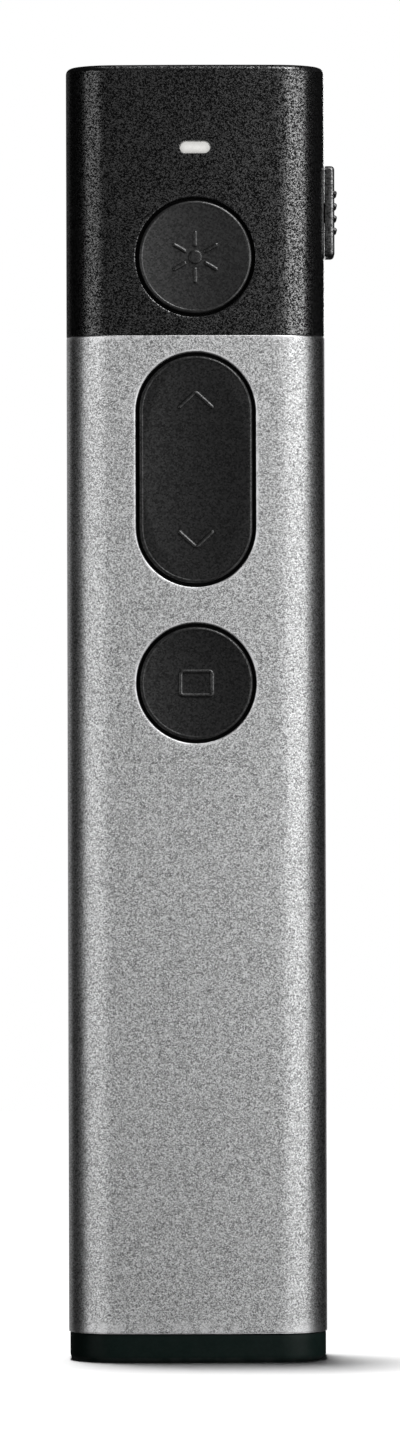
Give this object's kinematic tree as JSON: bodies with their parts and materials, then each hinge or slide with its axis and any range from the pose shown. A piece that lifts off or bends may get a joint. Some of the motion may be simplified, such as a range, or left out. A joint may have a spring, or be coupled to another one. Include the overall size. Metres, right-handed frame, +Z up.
{
  "type": "wireless presentation clicker",
  "caption": "Slim hand-held presentation remote: metal sleeve, plastic head with laser key and side power slide, page rocker, menu key, receiver stored in the base.",
  "frame": {"origin": "centre of the base's flat underside, on the body's long axis", "axes": "+Z up the body towards the laser window, -Y out of the front with the keys, +X out of the side with the power knob"},
  "size_m": [0.0273, 0.015, 0.13],
  "materials": {
    "anodised_sleeve": "bead-blasted and anodised dark silver, satin",
    "head_plastic": "black, fine spark-eroded grain",
    "cap_plastic": "black, smooth satin",
    "key_plastic": "black, smooth satin",
    "knob_plastic": "black, fine grain",
    "chassis_plastic": "black, plain moulded",
    "switch_plastic": "dark grey, plain moulded",
    "steel": "bright stamped steel",
    "brass": "turned",
    "lamp_resin": "clear yellow resin",
    "light_window": "clear moulded acrylic, lit white",
    "laser_glass": "polished dark red window",
    "lens_glass": "polished",
    "board": "green solder mask on glass laminate",
    "chip_resin": "black moulded resin",
    "chip_ceramic": "fired ceramic",
    "gold_copper": "gold-plated copper track",
    "cell_pouch": "laminated foil pouch",
    "foam": "closed-cell foam",
    "lead_insulation": "soft insulation",
    "connector_plastic": "natural nylon"
  },
  "bodies": {
    "housing": {"sleeve": "anodised_sleeve", "head_shell": "head_plastic", "end_cap": "cap_plastic", "chassis": "chassis_plastic", "laser_switch": "switch_plastic", "page_up_switch": "switch_plastic", "page_down_switch": "switch_plastic", "menu_switch": "switch_plastic", "power_switch_body": "steel", "status_lamp": "lamp_resin", "light_pipe": "light_window", "laser_window": "laser_glass", "laser_barrel": "brass", "laser_lens": "lens_glass", "laser_diode": "steel", "laser_holder": "switch_plastic", "main_board": "board", "radio_chip": "chip_resin", "radio_crystal": "steel", "charger_chip": "chip_resin", "chip_parts": "chip_ceramic", "antenna_trace": "gold_copper", "battery_cell": "cell_pouch", "battery_pad": "foam", "battery_leads": "lead_insulation", "battery_connector": "connector_plastic", "charge_socket_shell": "steel", "charge_socket_tongue": "switch_plastic", "receiver_clip": "steel", "cap_screws": "steel", "board_screws": "steel"},
    "laser_button": {"laser_keycap": "key_plastic", "laser_plunger": "switch_plastic"},
    "menu_button": {"menu_keycap": "key_plastic", "menu_plunger": "switch_plastic"},
    "rocker": {"rocker_keycap": "key_plastic", "rocker_pin": "steel"},
    "page_up_contact": {"page_up_plunger": "switch_plastic"},
    "page_down_contact": {"page_down_plunger": "switch_plastic"},
    "power_slider": {"power_knob": "knob_plastic", "power_lever": "switch_plastic"},
    "receiver": {"receiver_housing": "cap_plastic", "receiver_plug": "steel", "receiver_tongue": "connector_plastic"}
  },
  "joints": [
    {"name": "laser_press", "type": "slide", "parent": "housing", "child": "laser_button", "axis": [0, 1, 0], "range_m": [0, 0.00025], "stiffness_N_per_m": 300},
    {"name": "menu_press", "type": "slide", "parent": "housing", "child": "menu_button", "axis": [0, 1, 0], "range_m": [0, 0.00025], "stiffness_N_per_m": 300},
    {"name": "rocker_tilt", "type": "hinge", "parent": "housing", "child": "rocker", "pos_m": [0, -0.00565, 0.0894], "axis": [1, 0, 0], "range_deg": [-1.6, 1.6], "stiffness_Nm_per_rad": 0.02},
    {"name": "page_up_travel", "type": "slide", "parent": "housing", "child": "page_up_contact", "axis": [0, 1, 0], "range_m": [-0.0002, 0.0002]},
    {"name": "page_down_travel", "type": "slide", "parent": "housing", "child": "page_down_contact", "axis": [0, 1, 0], "range_m": [-0.0002, 0.0002]},
    {"name": "power_slide", "type": "slide", "parent": "housing", "child": "power_slider", "axis": [0, 0, -1], "range_m": [0, 0.002]},
    {"name": "receiver_pull", "type": "slide", "parent": "housing", "child": "receiver", "axis": [0, 0, -1], "range_m": [0, 0.0189]}
  ],
  "couplings": [
    {"joint": "page_up_travel", "follows": "rocker_tilt", "m_per_rad": -0.007},
    {"joint": "page_down_travel", "follows": "rocker_tilt", "m_per_rad": 0.007}
  ]
}
